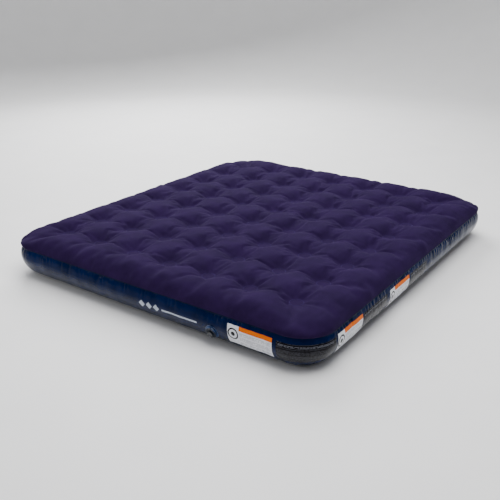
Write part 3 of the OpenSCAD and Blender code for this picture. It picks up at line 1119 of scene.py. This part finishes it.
def add_plug_strap(vinyl):
    path = [(26.5, 2.65, 2.2), (29, 2.65, 2.2), (32, 2.65, 2.1)]
    path += fold(PLUG_HINGE, 2.75, 2.5, 2.1, -90, 90)
    path += [(32.8, 7.9, 1.9)]
    plug_strap = valve_piece("plug_strap", [
        turned([(26.1, 1.5, 0.4), (28.7, 1.5, 0.6), (28.7, 3.8, 0.6), (26.1, 3.8, 0.4)]),
        strap(path, 6)], vinyl)
    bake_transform(plug_strap)
    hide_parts("plug_tether")


def add_cap(plastic):
    """The small cap: knurled lid, strap end, thumb tab and the ridge on it."""
    cap = valve_piece("cap_moulding", [
        turned([(AXIS, LID[0], 0), (11.2, LID[0], 0), (11.2, 11.2, 0.2), (13.1, 11.2, 0.4),
                (13.1, LID[1], 0.8), (9.6, LID[1], 0.3), (8.9, 15.1, 0.3), (AXIS, 15.1, 0)], 96, 32),
        bar(-4, 4, -18.0, -11, *LID),
        plate([(-4, 11, 0), (4, 11, 0), (4, 15, 1.6), (2.4, 17.1, 1.4), (-2.4, 17.1, 1.4), (-4, 15, 1.6)],
              *LID),
        bar(-2.6, 2.6, 14.2, 15.0, 15.4, 16.0, 0.3, 0.2)], plastic)
    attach(cap, "cap")
    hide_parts("inflation_cap")


def add_cap_strap(vinyl):
    path = [(-11.5, 9.45, 0.8), (-14, 9.45, 0.8), (-17, 9.45, 0.8)]
    path += fold(CAP_HINGE, 2.65, 2.6, 0.9, -90, -270)
    path += [(-17.2, 14.7, 1.2)]
    cap_strap = valve_piece("cap_strap", [
        turned([(11.0, 9.05, 0.2), (13.1, 9.05, 0.2), (13.1, 9.85, 0.2), (11.0, 9.85, 0.2)]),
        strap(path, 4)], vinyl)
    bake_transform(cap_strap)
    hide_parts("cap_tether")


def add_flap(plastic, silicone):
    clamp = valve_piece("flap_clamp_strip", [
        bar(-4, 4, 12.6, 17, *FLAP, 0.8, 0.3),
        turned([(AXIS, -12.25, 0), (1.6, -12.25, 0.5), (1.6, -11, 0), (AXIS, -11, 0)], 24)], plastic)
    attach(clamp, "plug")
    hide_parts("flap_clamp")

    flap = valve_piece("flap_disc", [
        turned([(AXIS, FLAP[0], 0), (11.5, FLAP[0], 0.35), (11.5, FLAP[1], 0.35), (AXIS, FLAP[1], 0)]),
        bar(-4, 4, 6, 11.4, *FLAP, 0.6, 0.3)], silicone)
    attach(flap, "flap")
    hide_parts("check_flap")

    web = [(y, FLAP_MIDDLE, thick) for y, thick in (
        (13.2, 0.6), (12.6, 0.5), (12.3, 0.3), (12, 0.25), (11.7, 0.3), (11.4, 0.5), (10.6, 0.6))]
    flap_web = valve_piece("flap_web", [strap(web, 3.6)], silicone)
    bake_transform(flap_web)


# ---- studio floor

def add_sweep(material):
    """A pale studio floor that curves up into a wall on every side."""
    flat, bend, wall = 5.5, 3.0, 5.0
    turn = np.arange(96) * TAU / 96
    profile = [(0.02, 0), (2, 0), (flat, 0)]
    for rise in np.linspace(0, math.pi / 2, 13)[1:]:
        profile.append((flat + bend * math.sin(rise), bend * (1 - math.cos(rise))))
    profile.append((flat + bend, wall))
    rings = [np.c_[r * np.cos(turn), r * np.sin(turn), np.full(len(turn), z)] for r, z in profile]
    faces = grid_faces(len(profile), len(turn), closed=True) + [tuple(range(len(turn)))]
    return make_object("studio_sweep", np.concatenate(rings), faces, material)


# ---- the bed

def main():
    add_camera()
    add_studio()

    flock = rayon_flock("rayon flock", "1b0f2e", "24153a")
    pressed = rayon_flock("pressed flock", "271c40", "30254e")
    wall_film = calendered_vinyl("navy wall film", *NAVY, 0.2)
    base_film = calendered_vinyl("navy base film", "030b1c", "06122a", 0.34)
    weld_film = calendered_vinyl("welded film", "020c20", "04122c", 0.4)
    coil_film = calendered_vinyl("clear blue coil film", "7f8aa6", "99a3bb", 0.34)

    add_sweep(plain_floor())

    top = add_flocked_top(flock)
    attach(top, "sleeping_top")
    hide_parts("top_panel")

    rings = add_weld_rings("top_weld_rings", TOP_WELD_Z, pressed)
    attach(rings, "sleeping_top")

    wall = Wall()
    skin = add_wall(wall, wall_film)
    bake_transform(skin)
    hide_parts("side_wall")

    base = add_base(base_film)
    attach(base, "mattress")
    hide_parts("base_sheet")

    sides = add_side_prints(wall)
    for panel, node in sides:
        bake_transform(panel)
        if node:
            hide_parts(node)

    neck_vinyl = moulded_vinyl("translucent neck vinyl", "1f3a68", "29477a", 0.28, Transmission_Weight=0.25)
    plug_vinyl = moulded_vinyl("dark plug vinyl", "0c1626", "121e33", 0.35)
    cap_plastic = moulded_vinyl("satin cap plastic", "15181e", "1d2128", 0.3)
    rubber = moulded_vinyl("seal rubber", "1c1c1f", "26262a", 0.6)
    silicone = moulded_vinyl("milky silicone", "b9bcc4", "c6c9d0", 0.4, Transmission_Weight=0.2)
    add_neck(neck_vinyl)
    add_plug(plug_vinyl, rubber)
    add_plug_strap(neck_vinyl)
    add_cap(cap_plastic)
    add_cap_strap(plug_vinyl)
    add_flap(cap_plastic, silicone)

    seam = add_seam_bead("top_seam_bead", TOP_SEAM, 2.0 * MM, 0.5 * MM, weld_film)
    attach(seam, "sleeping_top")
    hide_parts("top_seam_weld")
    base_seam = add_seam_bead("base_seam_bead", BASE_SEAM, 2.2 * MM, 0.8 * MM, weld_film)
    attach(base_seam, "mattress")
    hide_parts("base_seam_weld")

    coils = add_coil_tubes(coil_film)
    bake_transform(coils)
    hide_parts(*COIL_ROWS)


main()
